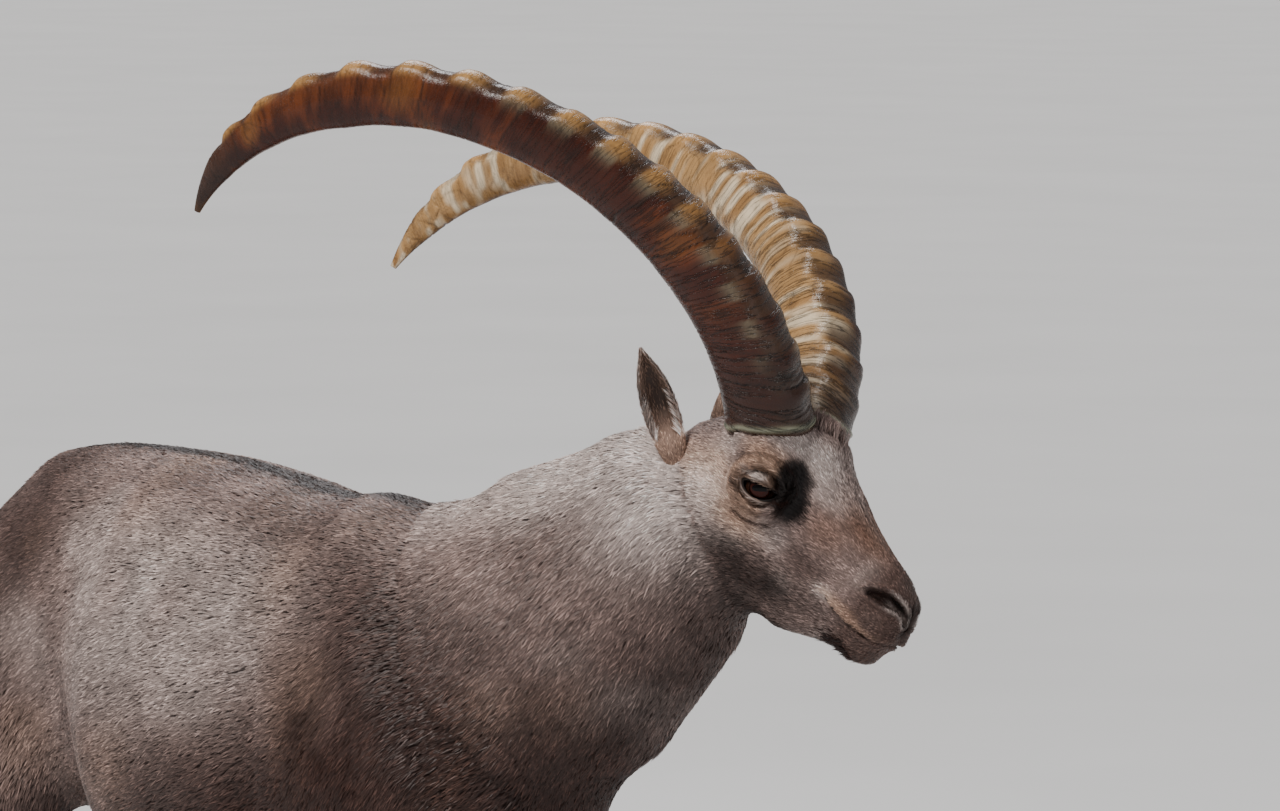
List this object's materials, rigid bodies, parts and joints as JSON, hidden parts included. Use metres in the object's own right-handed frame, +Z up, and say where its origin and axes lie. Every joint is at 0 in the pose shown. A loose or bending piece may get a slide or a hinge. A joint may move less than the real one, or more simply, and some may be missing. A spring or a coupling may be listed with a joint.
{
  "type": "alpine ibex model",
  "caption": "Life-size still model of a male alpine ibex, standing with its head turned to its left and its long knobbed horns swept back.",
  "frame": {"origin": "on the floor, under the middle of the whole animal's box", "axes": "+X forward along the body, +Y to the animal's left, +Z up"},
  "size_m": [1.3542, 0.5276, 1.3194],
  "materials": {
    "body_coat": "short glossy summer coat, grey-brown",
    "dark_coat": "short dark brown coat of legs, belly and tail",
    "face_coat": "very short ochre-brown coat of face and ears",
    "horn": "keratin, ringed and cracked, satin",
    "eye": "wet, dark amber",
    "hoof": "dark horn, slightly worn"
  },
  "bodies": {
    "root": {"torso": "body_coat", "neck": "body_coat", "tail": "dark_coat", "head": "face_coat", "ear_left": "face_coat", "eye_left": "eye", "horn_left": "horn", "ear_right": "face_coat", "eye_right": "eye", "horn_right": "horn", "fore_left_leg": "dark_coat", "fore_left_claw_outer": "hoof", "fore_left_dewclaw_outer": "hoof", "fore_left_claw_inner": "hoof", "fore_left_dewclaw_inner": "hoof", "fore_right_leg": "dark_coat", "fore_right_claw_outer": "hoof", "fore_right_dewclaw_outer": "hoof", "fore_right_claw_inner": "hoof", "fore_right_dewclaw_inner": "hoof", "hind_left_leg": "dark_coat", "hind_left_claw_outer": "hoof", "hind_left_dewclaw_outer": "hoof", "hind_left_claw_inner": "hoof", "hind_left_dewclaw_inner": "hoof", "hind_right_leg": "dark_coat", "hind_right_claw_outer": "hoof", "hind_right_dewclaw_outer": "hoof", "hind_right_claw_inner": "hoof", "hind_right_dewclaw_inner": "hoof"}
  },
  "joints": []
}
